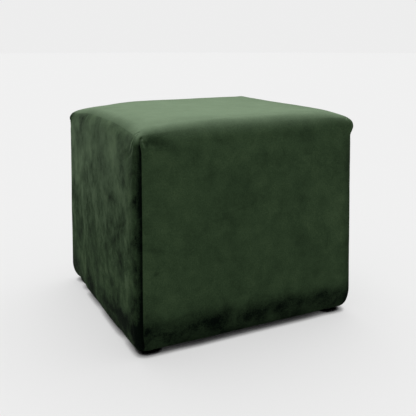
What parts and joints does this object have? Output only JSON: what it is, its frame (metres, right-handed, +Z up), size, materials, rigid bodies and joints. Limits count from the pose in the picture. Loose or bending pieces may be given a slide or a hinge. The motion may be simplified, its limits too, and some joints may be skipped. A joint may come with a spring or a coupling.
{
  "type": "cube pouf stool",
  "caption": "Soft-edged cube pouf stool in dark green velvet, with a lapped pleat down each corner and low black glides under its base.",
  "frame": {"origin": "on the floor under the middle of the stool", "axes": "+X along the wide front, to the right as seen from the front; +Y from front to back; +Z up"},
  "size_m": [0.46, 0.44, 0.4],
  "materials": {
    "velvet": "dark green short-pile velvet, matt face on, pale at a grazing view",
    "base_cloth": "thin black bonded cloth, matt",
    "glide": "moulded black plastic, satin"
  },
  "bodies": {
    "root": {"cover": "velvet", "base_cloth": "base_cloth", "glide_front_left": "glide", "glide_front_right": "glide", "glide_back_left": "glide", "glide_back_right": "glide"}
  },
  "joints": []
}
